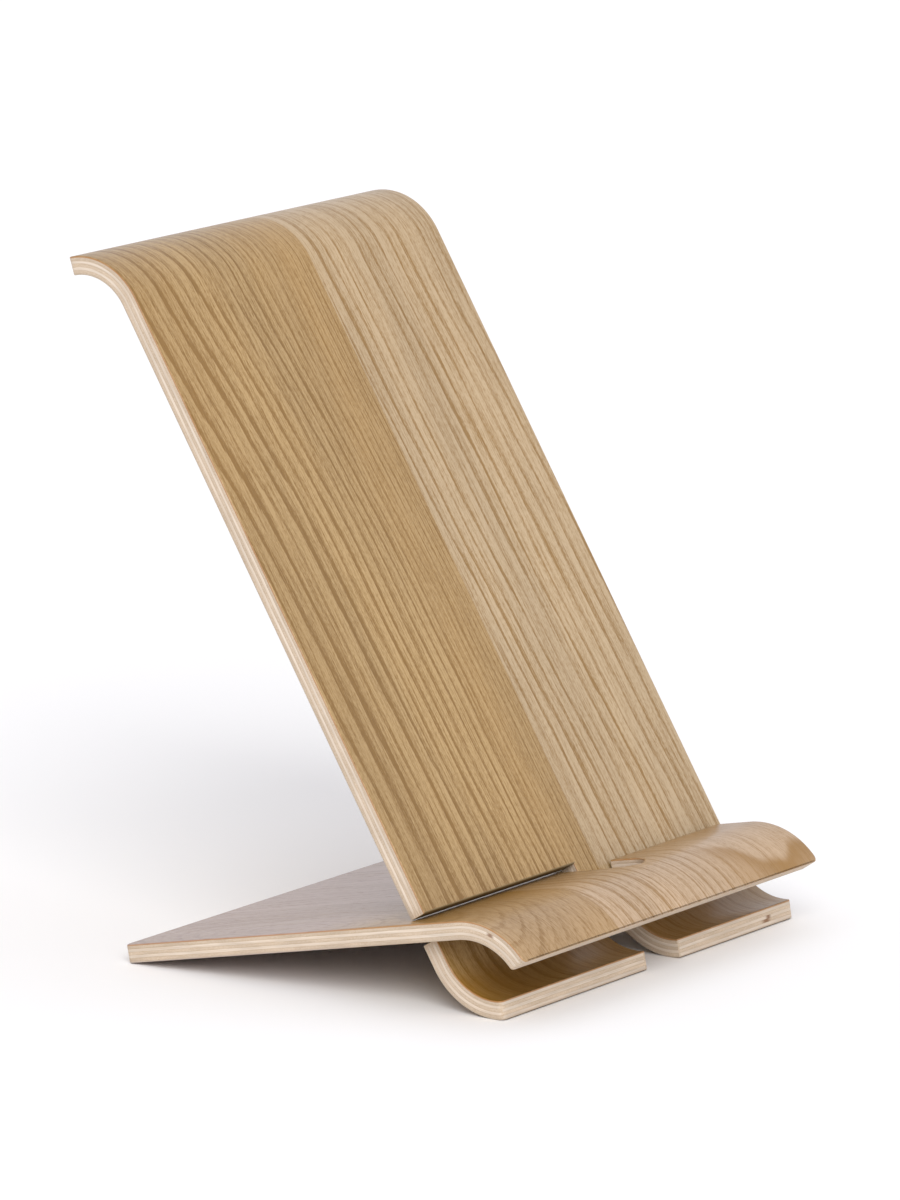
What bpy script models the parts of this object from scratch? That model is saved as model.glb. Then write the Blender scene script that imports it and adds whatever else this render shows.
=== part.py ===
"""Phone stand: two form-pressed plywood panels that cross and slide into each other.

The back panel curls backwards at its top and forwards into a foot at its bottom. The
base panel runs from a tail on the table, through the back panel, to a crest that curls
down into a lip. A slot reaches about half way across each panel. The panels slide
sideways into each other's slots, so the stand comes apart without tools.

Each panel is a lamination of seven plies, and each ply is its own object. A ply is
built as its maker builds it: a flat blank is cut to its outline, given its thickness,
and then bent over the mould.

Frame: metres, +X to the right across the stand, -Y to the front, +Z up. The origin is
on the table, in the middle of the stand's outer box.
"""

import math

import bmesh
import bpy

MM = 0.001

# Plies: a thin veneer on each face of a panel, and thicker core plies between them
FACE_VENEER = 0.3 * MM
CORE_PLY = 0.63 * MM
CORE_PLIES = 5

# Widths, and how far the back panel's left edge stands in from the base panel's
BASE_WIDTH = 100.0 * MM
BACK_WIDTH = 99.0 * MM
SIDE_STEP = 3.9 * MM

# Slopes of the straight parts
BACK_LEAN = math.radians(30.8)  # from the vertical
SHELF_PITCH = math.radians(11.0)  # from the horizontal, rising to the front

# Back panel, measured along the middle of its thickness from where the panels cross
BACK_STRAIGHT = 135.0 * MM
TOP_BEND_RADIUS = 12.9 * MM
TOP_BEND = math.radians(72.9)
TOP_END_CUT = math.radians(6.8)
BELOW_SLOT_STRAIGHT = 7.6 * MM
FOOT_BEND_RADIUS = 14.5 * MM
FOOT_BEND = math.radians(66.0)
FOOT_END_CUT = math.radians(3.5)

# Base panel, measured in the same way. Its tail is as long as it takes to reach the table
SHELF_STRAIGHT = 11.0 * MM
CREST_RADIUS = 14.9 * MM
CREST_BEND = math.radians(59.0)
LIP_END_CUT = math.radians(9.0)

# Slots and cable notches
SLOT_FIT = 0.2 * MM  # free space on each side of a panel in the other one's slot
SLOT_END_GAP = 1.9 * MM  # left at the end of the back panel's slot for sliding home
NOTCH_WIDTH = 11.2 * MM
NOTCH_FROM_LEFT = 51.6 * MM  # from the base panel's left edge to the notches' left walls
SHELF_NOTCH_REACH = 13.6 * MM  # from where the panels cross to the round end
FOOT_NOTCH_REACH = 9.0 * MM  # the same, down the back panel

# Rounding of the blanks' corners, and facets of the round stretches
CORNER_RADIUS = 1.0 * MM
BEND_FACETS = 12
NOTCH_FACETS = 4
CORNER_FACETS = 2
END_STUB = 0.3 * MM  # shortest straight stub between a bend and its end cut
SAME_PLACE = 0.02 * MM  # lines and corners of a blank nearer than this are one
SHARP_EDGE = math.radians(35.0)

THICKNESS = 2 * FACE_VENEER + CORE_PLIES * CORE_PLY
HALF = THICKNESS / 2

BACK_PLY_NAMES = (
    "back_panel_rear_veneer",
    "back_panel_rear_crossband",
    "back_panel_rear_core_ply",
    "back_panel_centre_ply",
    "back_panel_front_core_ply",
    "back_panel_front_crossband",
    "back_panel_face_veneer",
)
BASE_PLY_NAMES = (
    "base_panel_under_veneer",
    "base_panel_under_crossband",
    "base_panel_lower_core_ply",
    "base_panel_centre_ply",
    "base_panel_upper_core_ply",
    "base_panel_top_crossband",
    "base_panel_top_veneer",
)

ASH_FACE = (0.52, 0.35, 0.18, 1.0)
ASH_REVERSE = (0.46, 0.30, 0.16, 1.0)
BIRCH_CROSS = (0.74, 0.60, 0.42, 1.0)
BIRCH_LONG = (0.80, 0.69, 0.53, 1.0)


def clear_scene():
    for thing in list(bpy.data.objects):
        bpy.data.objects.remove(thing, do_unlink=True)


def wood_material(name, colour, roughness):
    material = bpy.data.materials.new(name)
    material.use_nodes = True
    shader = material.node_tree.nodes["Principled BSDF"]
    shader.inputs["Base Color"].default_value = colour
    shader.inputs["Roughness"].default_value = roughness
    shader.inputs["Metallic"].default_value = 0.0
    material.diffuse_color = colour
    return material


# ---------------------------------------------------------------- side view of a mould


class Station:
    """A place on a panel's centreline, in the side view.

    along is the distance from where the panels cross, u is to the front and z is up,
    both from the same crossing. heading is the direction of travel along the panel.
    slant leans the line through the thickness, as an end cut does.
    """

    def __init__(self, along, u, z, heading, slant=0.0):
        self.along = along
        self.u = u
        self.z = z
        self.heading = heading
        self.slant = slant

    def point(self, level):
        """(u, z) at a level through the thickness, positive to the left of travel."""
        ahead = level * math.tan(self.slant)
        u = self.u + ahead * math.cos(self.heading) - level * math.sin(self.heading)
        z = self.z + ahead * math.sin(self.heading) + level * math.cos(self.heading)
        return u, z


def add_straight(stations, length):
    last = stations[-1]
    u = last.u + length * math.cos(last.heading)
    z = last.z + length * math.sin(last.heading)
    stations.append(Station(last.along + length, u, z, last.heading))


def add_bend(stations, radius, turn):
    """An arc of the centreline. A positive turn bends to the left of travel."""
    start = stations[-1]
    side = math.copysign(1.0, turn)
    centre_u = start.u - side * radius * math.sin(start.heading)
    centre_z = start.z + side * radius * math.cos(start.heading)
    for facet in range(1, BEND_FACETS + 1):
        swept = abs(turn) * facet / BEND_FACETS
        heading = start.heading + side * swept
        u = centre_u + side * radius * math.sin(heading)
        z = centre_z - side * radius * math.cos(heading)
        stations.append(Station(start.along + radius * swept, u, z, heading))


def add_end_cut(stations, slant):
    """A short straight stub whose end is cut at a slant to the thickness."""
    add_straight(stations, END_STUB + HALF * abs(math.tan(slant)))
    stations[-1].slant = slant


def half_profile(heading):
    return [Station(0.0, 0.0, 0.0, heading)]


def joined_profile(ahead, behind):
    """One profile from two that leave the crossing in opposite directions."""
    turned = []
    for station in reversed(behind[1:]):
        heading = station.heading - math.pi
        turned.append(Station(-station.along, station.u, station.z, heading, station.slant))
    return turned + ahead


def back_profile():
    """From the foot's end up to the top end. The rear face is to the left of travel."""
    up = half_profile(math.pi / 2 + BACK_LEAN)
    add_straight(up, BACK_STRAIGHT)
    add_bend(up, TOP_BEND_RADIUS, TOP_BEND)
    add_end_cut(up, -TOP_END_CUT)
    down = half_profile(math.pi / 2 + BACK_LEAN + math.pi)
    add_straight(down, BELOW_SLOT_STRAIGHT)
    add_bend(down, FOOT_BEND_RADIUS, FOOT_BEND)
    add_end_cut(down, -FOOT_END_CUT)
    return joined_profile(up, down)


def lowest(profile):
    return min(station.point(side)[1] for station in profile for side in (-HALF, HALF))


def tail_length():
    """How far the base panel runs back until its lower edge meets the table."""
    below_middle = HALF * math.cos(SHELF_PITCH)
    return (-lowest(back_profile()) - below_middle) / math.sin(SHELF_PITCH)


def base_profile():
    """From the tail's end forward to the lip. The top face is to the left of travel."""
    forward = half_profile(SHELF_PITCH)
    add_straight(forward, SHELF_STRAIGHT)
    add_bend(forward, CREST_RADIUS, -CREST_BEND)
    add_end_cut(forward, LIP_END_CUT)
    back = half_profile(SHELF_PITCH + math.pi)
    add_straight(back, tail_length())
    return joined_profile(forward, back)


def bent_point(profile, along, level):
    """(u, z) of a point of the flat blank once it is bent over the faceted mould."""
    for first, second in zip(profile, profile[1:]):
        if along <= second.along:
            break
    share = (along - first.along) / (second.along - first.along)
    u_first, z_first = first.point(level)
    u_second, z_second = second.point(level)
    return u_first + share * (u_second - u_first), z_first + share * (z_second - z_first)


# ---------------------------------------------------------------- flat blank of a ply


def slot_half_width():
    """Half of a slot that is square to its panel and clears the slanting other one."""
    crossing = math.pi / 2 + BACK_LEAN - SHELF_PITCH
    return HALF * (1 / math.sin(crossing) + abs(1 / math.tan(crossing))) + SLOT_FIT


class Slot:
    """A straight slot across the panel. An infinite side is open at that edge."""

    def __init__(self, left, right):
        self.low = -slot_half_width()
        self.high = slot_half_width()
        self.left = left
        self.right = right

    def lines(self):
        return [self.low, self.high]

    def gap(self, along):
        return self.left, self.right


class CableNotch:
    """A notch with parallel walls and a half-round end, along the panel.

    mouth is where it opens and reach is how far its round end goes.
    """

    def __init__(self, left, mouth, reach):
        self.left = left
        self.radius = NOTCH_WIDTH / 2
        self.side = math.copysign(1.0, reach - mouth)
        self.centre = reach - self.side * self.radius
        self.reach = reach
        self.low = min(mouth, reach)
        self.high = max(mouth, reach)

    def lines(self):
        found = [self.low, self.high]
        for facet in range(NOTCH_FACETS):
            swept = math.pi / 2 * facet / NOTCH_FACETS
            found.append(self.centre + self.side * self.radius * math.sin(swept))
        return found

    def gap(self, along):
        beyond = max(0.0, self.side * (along - self.centre))
        half = math.sqrt(max(0.0, self.radius**2 - beyond**2))
        middle = self.left + self.radius
        return middle - half, middle + half


class Panel:
    """A panel's outline while it is still flat: x across it, along up or down it."""

    def __init__(self, profile, left, width, cuts):
        self.profile = profile
        self.left = left
        self.right = left + width
        self.low = profile[0].along
        self.high = profile[-1].along
        self.cuts = cuts

    def corner_inset(self, along):
        """How far the rounded corners pull the side edges in."""
        from_end = min(along - self.low, self.high - along)
        short = max(0.0, CORNER_RADIUS - from_end)
        return CORNER_RADIUS - math.sqrt(CORNER_RADIUS**2 - short**2)

    def lines(self):
        """Every place along the panel where its outline or its bend has a corner."""
        found = [station.along for station in self.profile if station.along != 0.0]
        for facet in range(1, CORNER_FACETS + 1):
            swept = math.pi / 2 * facet / CORNER_FACETS
            inset = CORNER_RADIUS * (1 - math.cos(swept))
            found += [self.low + inset, self.high - inset]
        for cut in self.cuts:
            found += cut.lines()
        return without_repeats(found)

    def spans(self, along, middle):
        """Wood across the panel at a line, seen from the strip whose middle is given."""
        inset = self.corner_inset(along)
        spans = [(self.left + inset, self.right - inset)]
        for cut in self.cuts:
            if cut.low < middle < cut.high:
                spans = without_gap(spans, *cut.gap(along))
        return spans


def without_repeats(values):
    kept = []
    for value in sorted(values):
        if not kept or value - kept[-1] > SAME_PLACE:
            kept.append(value)
    return kept


def without_gap(spans, left, right):
    rest = []
    for start, end in spans:
        if left > start:
            rest.append((start, min(left, end)))
        if right < end:
            rest.append((max(right, start), end))
    return rest


def flat_blank(panel):
    """The blank as one flat sheet of faces, split at every line across it."""
    sheet = bmesh.new()
    lines = panel.lines()
    strips = []
    for low, high in zip(lines, lines[1:]):
        middle = (low + high) / 2
        strips.append((panel.spans(low, middle), panel.spans(high, middle)))
    rows = []
    for row, along in enumerate(lines):
        ends = strips[row][0] if row < len(strips) else []
        ends = ends + (strips[row - 1][1] if row > 0 else [])
        across = without_repeats([x for span in ends for x in span])
        rows.append([sheet.verts.new((x, along, 0.0)) for x in across])
    for row, (lower, upper) in enumerate(strips):
        for low_span, high_span in zip(lower, upper):
            corners = row_between(rows[row], low_span)
            corners += reversed(row_between(rows[row + 1], high_span))
            sheet.faces.new(corners)
    return sheet


def row_between(row, span):
    return [v for v in row if span[0] - SAME_PLACE < v.co.x < span[1] + SAME_PLACE]


def pressed_ply(panel, low_level, high_level):
    """A flat blank thickened and bent to the mould between two levels."""
    sheet = flat_blank(panel)
    grown = bmesh.ops.extrude_face_region(sheet, geom=sheet.faces[:])
    raised = {item for item in grown["geom"] if isinstance(item, bmesh.types.BMVert)}
    for vertex in sheet.verts:
        level = high_level if vertex in raised else low_level
        u, z = bent_point(panel.profile, vertex.co.y, level)
        vertex.co = (vertex.co.x, -u, z)
    bmesh.ops.recalc_face_normals(sheet, faces=sheet.faces[:])
    return sheet


# ---------------------------------------------------------------- objects


def ply_levels():
    """The levels between plies, from one face of a panel to the other."""
    levels = [-HALF, -HALF + FACE_VENEER]
    for ply in range(1, CORE_PLIES + 1):
        levels.append(-HALF + FACE_VENEER + ply * CORE_PLY)
    levels.append(HALF)
    return levels


def add_ply(name, panel, low_level, high_level, material, carrier):
    sheet = pressed_ply(panel, low_level, high_level)
    mesh = bpy.data.meshes.new(name)
    sheet.to_mesh(mesh)
    sheet.free()
    mesh.materials.append(material)
    mesh.shade_smooth()
    mesh.set_sharp_from_angle(angle=SHARP_EDGE)
    ply = bpy.data.objects.new(name, mesh)
    ply.parent = carrier
    bpy.context.scene.collection.objects.link(ply)
    return ply


def add_carrier(name, place):
    carrier = bpy.data.objects.new(name, None)
    carrier.location = place
    bpy.context.scene.collection.objects.link(carrier)
    return carrier


def ply_finish(order, face_first):
    """Name, colour and roughness of a ply's wood, by its place in the lamination."""
    last = CORE_PLIES + 1
    if order in (0, last):
        is_face = (order == 0) == face_first
        return ("ash_face", ASH_FACE, 0.42) if is_face else ("ash_reverse", ASH_REVERSE, 0.5)
    if order % 2 == 1:
        return "birch_cross_grain", BIRCH_CROSS, 0.7
    return "birch_long_grain", BIRCH_LONG, 0.65


def laminate(names, panel, carrier, face_first):
    """All the plies of one panel, from the right of travel to the left."""
    levels = ply_levels()
    for order, name in enumerate(names):
        finish, colour, roughness = ply_finish(order, face_first)
        material = wood_material(f"{name}_{finish}", colour, roughness)
        add_ply(name, panel, levels[order], levels[order + 1], material, carrier)


def back_panel(left):
    """Open at its left edge for the base panel, whose wood ends at the meeting line."""
    meeting = left + NOTCH_FROM_LEFT
    slot = Slot(-math.inf, meeting + SLOT_END_GAP)
    profile = back_profile()
    notch = CableNotch(meeting, profile[0].along, -FOOT_NOTCH_REACH)
    return Panel(profile, left + SIDE_STEP, BACK_WIDTH, [slot, notch])


def base_panel(left):
    """Open from the meeting line to its right edge for the back panel."""
    meeting = left + NOTCH_FROM_LEFT
    slot = Slot(meeting, math.inf)
    notch = CableNotch(meeting, slot.high, SHELF_NOTCH_REACH)
    return Panel(base_profile(), left, BASE_WIDTH, [slot, notch])


def crossing_place(back, base):
    """Where the panels cross, from the stand's outer box on the table."""
    depths = []
    for panel in (back, base):
        for station in panel.profile:
            depths += [station.point(side)[0] for side in (-HALF, HALF)]
    middle = (min(depths) + max(depths)) / 2
    return 0.0, middle, -lowest(back.profile)


def build_stand():
    clear_scene()
    whole_width = max(BASE_WIDTH, SIDE_STEP + BACK_WIDTH) - min(0.0, SIDE_STEP)
    left = -whole_width / 2 - min(0.0, SIDE_STEP)
    back = back_panel(left)
    base = base_panel(left)
    place = crossing_place(back, base)
    laminate(BACK_PLY_NAMES[::-1], back, add_carrier("back_panel", place), True)
    laminate(BASE_PLY_NAMES, base, add_carrier("base_panel", place), False)


build_stand()
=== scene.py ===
# %% [markdown]
# # A phone stand of two moulded plywood panels
#
# The stand is two bent panels that slide into each other. Each panel is seven sheets of
# wood glued over a mould: an ash veneer on both faces and five birch plies between them.
# The CAD model already has the true sizes and the joint, but its bends are faceted and
# its wood is plain. This lesson lays every ply up again as a fine smooth surface, and
# gives each wood its grain, pores, glue lines and lacquer.
#
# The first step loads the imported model, which is the fixed frame for everything else.

# %% Load the frame
import math

import bpy
import numpy as np
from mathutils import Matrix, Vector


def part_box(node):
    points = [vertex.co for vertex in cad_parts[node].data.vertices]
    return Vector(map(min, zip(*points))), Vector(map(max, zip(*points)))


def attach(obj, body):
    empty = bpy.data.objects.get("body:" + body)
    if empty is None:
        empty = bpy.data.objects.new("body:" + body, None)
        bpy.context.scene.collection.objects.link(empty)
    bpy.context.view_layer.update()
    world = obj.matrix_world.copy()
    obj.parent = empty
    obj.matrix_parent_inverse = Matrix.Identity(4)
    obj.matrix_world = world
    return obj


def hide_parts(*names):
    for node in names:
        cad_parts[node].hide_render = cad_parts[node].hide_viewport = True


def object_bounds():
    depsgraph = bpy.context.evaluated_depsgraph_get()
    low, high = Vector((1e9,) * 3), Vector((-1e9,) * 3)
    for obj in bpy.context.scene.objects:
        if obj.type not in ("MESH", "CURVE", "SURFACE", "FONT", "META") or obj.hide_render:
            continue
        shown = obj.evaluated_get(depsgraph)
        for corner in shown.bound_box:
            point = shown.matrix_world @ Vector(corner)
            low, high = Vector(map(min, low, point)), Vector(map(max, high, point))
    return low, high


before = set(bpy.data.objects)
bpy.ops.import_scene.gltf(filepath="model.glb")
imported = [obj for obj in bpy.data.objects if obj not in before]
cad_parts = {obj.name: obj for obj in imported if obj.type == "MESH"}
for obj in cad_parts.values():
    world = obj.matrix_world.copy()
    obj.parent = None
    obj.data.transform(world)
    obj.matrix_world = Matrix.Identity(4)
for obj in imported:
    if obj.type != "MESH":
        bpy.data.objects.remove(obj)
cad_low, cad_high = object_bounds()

MM = 0.001
print("size in mm", [round((high - low) / MM, 1) for low, high in zip(cad_low, cad_high)])

# %% [markdown]
# ## Camera
#
# A small object looks natural through a long lens from a step away: its parallel edges
# stay nearly parallel. The camera looks down a little and from the left. It could be
# placed by eye, but working it out from an azimuth, a height and a distance makes it
# easy to turn round the stand later.

# %% Camera
VIEW_AZIMUTH = math.radians(-53.549)
VIEW_HEIGHT = math.radians(11.618)
VIEW_ROLL = math.radians(-0.761)
VIEW_DISTANCE = 1.66424
LENS = 253.1
LOOK_AT = (0.0003, -0.00083, 0.06877)


def turned_camera(azimuth, height, roll, distance, target):
    """A camera on a ball round the target, as a matrix.

    Its backward axis points from the target to the camera. Its right axis is level, its
    up axis is square to both, and roll turns those two about the backward axis.
    """
    back = np.array([math.sin(azimuth), -math.cos(azimuth), 0.0]) * math.cos(height)
    back[2] = math.sin(height)
    level = np.cross([0.0, 0.0, 1.0], back)
    level /= np.linalg.norm(level)
    upright = np.cross(back, level)
    right = math.cos(roll) * level + math.sin(roll) * upright
    up = math.cos(roll) * upright - math.sin(roll) * level
    matrix = np.eye(4)
    matrix[:3, :3] = np.stack([right, up, back], axis=1)
    matrix[:3, 3] = np.array(target) + distance * back
    return matrix


camera_data = bpy.data.cameras.new("stand_camera")
camera_data.lens = LENS
camera_data.clip_end = 50.0
camera = bpy.data.objects.new("stand_camera", camera_data)
bpy.context.scene.collection.objects.link(camera)
camera_place = turned_camera(VIEW_AZIMUTH, VIEW_HEIGHT, VIEW_ROLL, VIEW_DISTANCE, LOOK_AT)
camera.matrix_world = camera_place.T
bpy.context.scene.camera = camera
print("camera at", [round(float(x), 3) for x in camera_place[:3, 3]])

# %% [markdown]
# ## The mould
#
# Plywood like this is pressed between two moulds, so every ply follows the same side
# view: straight runs joined by arcs. A profile is written the way a maker would mark it
# out, as runs that start where the two panels cross. Walking along those runs with whole
# arrays gives every point of a ply at once.

# %% Sizes of the two profiles
FACE_VENEER = 0.3 * MM
CORE_PLY = 0.63 * MM
CORE_PLIES = 5
HALF = FACE_VENEER + CORE_PLIES * CORE_PLY / 2

BACK_LEAN = math.radians(30.8)
SHELF_PITCH = math.radians(11.0)
END_STUB = 0.3 * MM


def arc(radius, turn):
    """A curved run: its length, and the angle it turns, positive to the left."""
    return radius * abs(turn), turn


def stub(cut):
    """The short straight end of a panel, long enough for its slanting end cut."""
    return END_STUB + HALF * abs(math.tan(cut)), 0.0


BACK_UP = [(135.0 * MM, 0.0), arc(12.9 * MM, math.radians(72.9)), stub(math.radians(6.8))]
BACK_DOWN = [(7.6 * MM, 0.0), arc(14.5 * MM, math.radians(66.0)), stub(math.radians(3.5))]
SHELF_AHEAD = [(11.0 * MM, 0.0), arc(14.9 * MM, math.radians(-59.0)), stub(math.radians(9.0))]
print("a panel is", round(2 * HALF / MM, 2), "mm thick")

# %% [markdown]
# ## Walking along a profile
#
# A bend could be drawn as a curve object and turned into a mesh, but then its points
# would fall where Blender puts them. Here the place on the profile is worked out for any
# distance, so the grid of the blank can be as fine as each bend needs.

# %% Walking along a profile
def walk(runs, heading, distance):
    """Place and heading at each distance along straight and curved runs.

    A straight run goes on by its length. A curved run of radius R, after an angle a, has
    gone R sin(a) ahead and R (1 - cos(a)) aside. The last run has no end.
    """
    u = np.zeros_like(distance)
    z = np.zeros_like(distance)
    heading = np.full_like(distance, heading)
    rest = distance.copy()
    for number, (length, turn) in enumerate(runs):
        last = number == len(runs) - 1
        step = rest if last else np.clip(rest, 0.0, length)
        if turn == 0.0:
            ahead, aside, bend = step, 0.0, 0.0
        else:
            radius = length / abs(turn)
            bend = math.copysign(1.0, turn) * step / radius
            ahead = radius * np.sin(abs(bend))
            aside = math.copysign(radius, turn) * (1.0 - np.cos(bend))
        u = u + ahead * np.cos(heading) - aside * np.sin(heading)
        z = z + ahead * np.sin(heading) + aside * np.cos(heading)
        heading = heading + bend
        rest = rest - step
    return u, z, heading


class Mould:
    """The side view of one panel, both ways from where the panels cross."""

    def __init__(self, heading, ahead, behind, cut_ahead, cut_behind):
        self.heading = heading
        self.ahead = ahead
        self.behind = behind
        self.high = sum(length for length, _ in ahead)
        self.low = -sum(length for length, _ in behind)
        self.cuts = ((self.high, ahead[-1][0], cut_ahead), (self.low, behind[-1][0], cut_behind))

    def side_view(self, s, level):
        """u (to the front) and z of points s along the panel and level off its middle.

        A slanting end cut moves a point along by level times the tangent of its slant,
        and that fades out over the end's stub.
        """
        for end, length, cut in self.cuts:
            share = np.clip(1.0 - abs(s - end) / length, 0.0, 1.0)
            s = s + level * math.tan(cut) * share
        u_ahead, z_ahead, h_ahead = walk(self.ahead, self.heading, np.maximum(s, 0.0))
        u_behind, z_behind, h_behind = walk(self.behind, self.heading + math.pi, np.maximum(-s, 0.0))
        u = np.where(s >= 0.0, u_ahead, u_behind)
        z = np.where(s >= 0.0, z_ahead, z_behind)
        heading = np.where(s >= 0.0, h_ahead, h_behind - math.pi)
        return u - level * np.sin(heading), z + level * np.cos(heading)


back_mould = Mould(
    math.pi / 2 + BACK_LEAN, BACK_UP, BACK_DOWN, math.radians(-6.8), math.radians(-3.5)
)
every_s = np.linspace(back_mould.low, back_mould.high, 4000)
back_sides = [back_mould.side_view(every_s, side) for side in (-HALF, HALF)]
lowest = min(z.min() for _, z in back_sides)
tail = (-lowest - HALF * math.cos(SHELF_PITCH)) / math.sin(SHELF_PITCH)
base_mould = Mould(SHELF_PITCH, SHELF_AHEAD, [(tail, 0.0), (END_STUB, 0.0)], math.radians(9.0), 0.0)
base_mould.low = -tail
base_mould.cuts = base_mould.cuts[:1]
every_s = np.linspace(base_mould.low, base_mould.high, 4000)
base_sides = [base_mould.side_view(every_s, side) for side in (-HALF, HALF)]
depths = np.concatenate([u for u, _ in back_sides + base_sides])

# The crossing's place follows from the CAD box: u is to the front, which is -Y.
CROSS_Y = (cad_low.y + cad_high.y) / 2 + (depths.min() + depths.max()) / 2
CROSS_Z = cad_low.z - lowest
print("tail", round(tail / MM, 2), "mm long")
print("panels cross at y, z in mm", round(CROSS_Y / MM, 2), round(CROSS_Z / MM, 2))

# %% [markdown]
# ## The flat blank
#
# Before pressing, a panel is a flat sheet with a slot, a cable notch and rounded corners.
# It could be cut with Booleans, but they leave slivers that shade badly on a bend. Here
# the sheet is a regular grid, x across it and s along it. The cells inside the slot and
# the notch are left out, and the rows beyond the notch are drawn round its end, so all
# faces stay four-sided and even.

# %% The grid of a blank
ACROSS_STEP = 1.0 * MM
STRAIGHT_STEP = 2.5 * MM
BEND_STEP = 0.45 * MM
CORNER = 1.0 * MM
CORNER_SPREAD = 4.0 * MM
NOTCH_WIDTH = 11.2 * MM
NOTCH_STEPS = 20
NOTCH_BLEND = 3.0 * MM
SLOT_FIT = 0.03 * MM
SAME_PLACE = 0.001 * MM
crossing_angle = math.pi / 2 + BACK_LEAN - SHELF_PITCH
SLOT_HALF = HALF * (1 / math.sin(crossing_angle) + abs(1 / math.tan(crossing_angle))) + SLOT_FIT


def filled(marks, steps):
    """The marks with evenly spaced places between them, at most a step apart."""
    parts = []
    for start, end, step in zip(marks, marks[1:], steps):
        count = max(1, math.ceil((end - start) / step - 1e-6))
        parts.append(np.linspace(start, end, count + 1)[:-1])
    return np.append(np.concatenate(parts), marks[-1])


def run_marks(mould):
    """Where straight and curved runs meet, with the step that suits each stretch."""
    marks = [(mould.low, STRAIGHT_STEP)]
    s = mould.low
    for length, turn in reversed(mould.behind):
        s = s + length if s + length <= 0.0 else 0.0
        marks.append((min(s, 0.0), BEND_STEP if turn else STRAIGHT_STEP))
    s = 0.0
    for length, turn in mould.ahead:
        s += length
        marks.append((s, BEND_STEP if turn else STRAIGHT_STEP))
    return marks


def rows_of(mould, extra):
    """The blank's rows: run ends, the slot's and notch's own lines, and fine ends."""
    turn_in = CORNER * (1 - np.cos(np.linspace(0.0, math.pi / 2, 5)))
    places = list(mould.low + turn_in) + list(mould.high - turn_in) + list(extra)
    marks = run_marks(mould)
    places += [place for place, _ in marks if abs(place) > BEND_STEP / 4]
    places = np.unique(np.round(np.array(places), 7))
    steps = []
    for start, end in zip(places, places[1:]):
        middle = (start + end) / 2
        after = [step for place, step in marks if place >= middle]
        steps.append(after[0] if after else STRAIGHT_STEP)
    return filled(places, steps)


class Blank:
    """One panel while flat: its grid of x and s, where wood is, and the slot's walls."""

    def __init__(self, mould, left, right, slot, notch):
        self.mould = mould
        self.left, self.right = left, right
        notch_left, mouth, reach = notch
        radius = NOTCH_WIDTH / 2
        side = math.copysign(1.0, reach - mouth)
        self.notch_middle = notch_left + radius
        centre = reach - side * radius
        beyond = reach + side * NOTCH_BLEND
        round_x = self.notch_middle - radius * np.cos(np.linspace(0.0, math.pi, NOTCH_STEPS + 1))
        outer = [place for place in slot if left < place < right and place > round_x[-1]]
        inner = [place for place in slot if left < place < right and place < round_x[0]]
        cols = np.concatenate([
            filled([left] + inner + [round_x[0]], [ACROSS_STEP] * (1 + len(inner)))[:-1],
            np.unique(np.round(np.append(round_x, [p for p in slot if round_x[0] < p < round_x[-1]]), 8)),
            filled([round_x[-1]] + outer + [right], [ACROSS_STEP] * (1 + len(outer)))[1:],
        ])
        rows = rows_of(mould, [-SLOT_HALF, SLOT_HALF, centre, beyond])
        self.x, self.s = np.meshgrid(cols, rows)
        x_cell = (cols[1:] + cols[:-1])[None, :] / 2
        s_cell = (rows[1:] + rows[:-1])[:, None] / 2
        in_slot = (abs(s_cell) < SLOT_HALF) & (x_cell > slot[0]) & (x_cell < slot[1])
        along_notch = (s_cell - mouth) * side > 0.0
        along_notch &= (s_cell - centre) * side < 0.0
        in_notch = along_notch & (abs(x_cell - self.notch_middle) < radius)
        self.wood = ~(in_slot | in_notch)
        on_wall = abs(abs(self.s) - SLOT_HALF) < SAME_PLACE
        self.slot_wall = on_wall & (self.x > slot[0]) & (self.x < slot[1])
        self.round_notch(centre, beyond, radius, side)
        self.round_corners()

    def round_notch(self, centre, beyond, radius, side):
        """Draws the rows past the notch round its end: an arc that fades out beyond it."""
        aside = abs(self.x - self.notch_middle)
        arc_s = centre + side * np.sqrt(np.clip(radius**2 - aside**2, 0.0, None))
        share = (self.s - centre) / (beyond - centre)
        drawn = arc_s + share * (beyond - arc_s)
        self.s = np.where((share >= 0.0) & (share <= 1.0) & (aside <= radius), drawn, self.s)

    def round_corners(self):
        """Pulls the sides in near both ends by a quarter circle."""
        from_end = np.minimum(self.s - self.mould.low, self.mould.high - self.s)
        short = np.clip(CORNER - from_end, 0.0, CORNER)
        inset = CORNER - np.sqrt(CORNER**2 - short**2)
        near_left = np.clip(1.0 - (self.x - self.left) / CORNER_SPREAD, 0.0, 1.0)
        near_right = np.clip(1.0 - (self.right - self.x) / CORNER_SPREAD, 0.0, 1.0)
        self.x = self.x + inset * (near_left - near_right)

    def outline(self):
        """Grid edges with wood on one side only, each with the wood on its left."""
        number = np.arange(self.x.size).reshape(self.x.shape)
        padded = np.pad(self.wood, 1)
        wood = padded[1:-1, 1:-1]
        below = wood & ~padded[:-2, 1:-1]
        above = wood & ~padded[2:, 1:-1]
        leftward = wood & ~padded[1:-1, :-2]
        rightward = wood & ~padded[1:-1, 2:]
        corner = (number[:-1, :-1], number[:-1, 1:], number[1:, 1:], number[1:, :-1])
        pairs = ((below, 0, 1), (rightward, 1, 2), (above, 2, 3), (leftward, 3, 0))
        return np.concatenate([np.stack([corner[a][m], corner[b][m]], 1) for m, a, b in pairs])


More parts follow.
